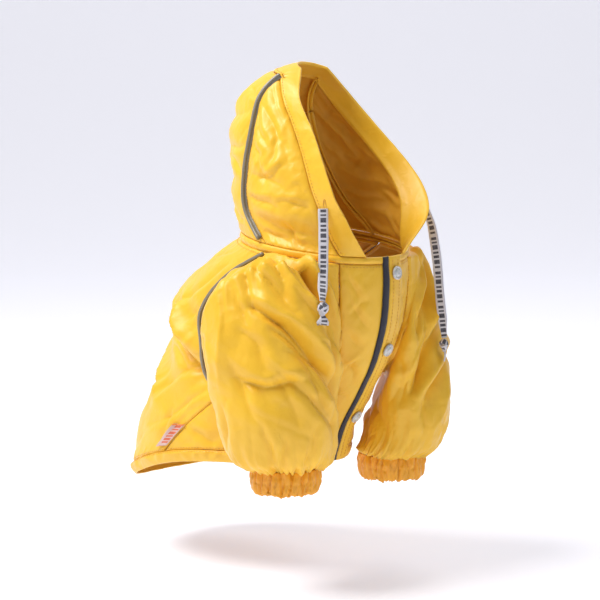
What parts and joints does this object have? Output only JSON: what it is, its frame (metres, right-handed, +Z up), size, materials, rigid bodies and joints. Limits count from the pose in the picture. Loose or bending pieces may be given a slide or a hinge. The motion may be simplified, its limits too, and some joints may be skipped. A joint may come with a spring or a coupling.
{
  "type": "hooded dog raincoat",
  "caption": "Hooded raincoat for a small dog, worn shape with raglan sleeves, gathered elastic cuffs, snap placket, drawstring hood, reflective piping and side label; hollow and open.",
  "frame": {"origin": "The middle of the neck seam, where the wearer's neck holds the coat up.", "axes": "+Z is up as worn by a sitting dog, -Y is the way the wearer faces, and -X is the wearer's right side."},
  "size_m": [0.2547, 0.2854, 0.3729],
  "materials": {
    "yellow_cloth": "slightly glossy coated nylon",
    "yellow_elastic": "gathered coated nylon over elastic",
    "navy_binding": "matt woven binding",
    "reflective_piping": "satin reflective piping",
    "tape": "matt woven tape with dark bars",
    "label_cloth": "woven label with orange stripes",
    "snap": "pearly plastic"
  },
  "bodies": {
    "root": {"back_panel": "yellow_cloth", "front_panel_right": "yellow_cloth", "front_panel_left": "yellow_cloth", "sleeve_right": "yellow_cloth", "sleeve_left": "yellow_cloth", "cuff_right": "yellow_elastic", "cuff_left": "yellow_elastic", "neck_band": "yellow_cloth", "hem_band": "yellow_cloth", "hood_centre": "yellow_cloth", "hood_side_right": "yellow_cloth", "hood_side_left": "yellow_cloth", "hood_channel": "yellow_cloth", "placket": "yellow_cloth", "placket_binding": "navy_binding", "snap_1": "snap", "snap_2": "snap", "snap_3": "snap", "piping_raglan_right": "reflective_piping", "piping_raglan_left": "reflective_piping", "piping_hood_right": "reflective_piping", "piping_hood_left": "reflective_piping", "label": "label_cloth", "drawstring_right": "tape", "knot_right": "tape", "drawstring_left": "tape", "knot_left": "tape"}
  },
  "joints": []
}
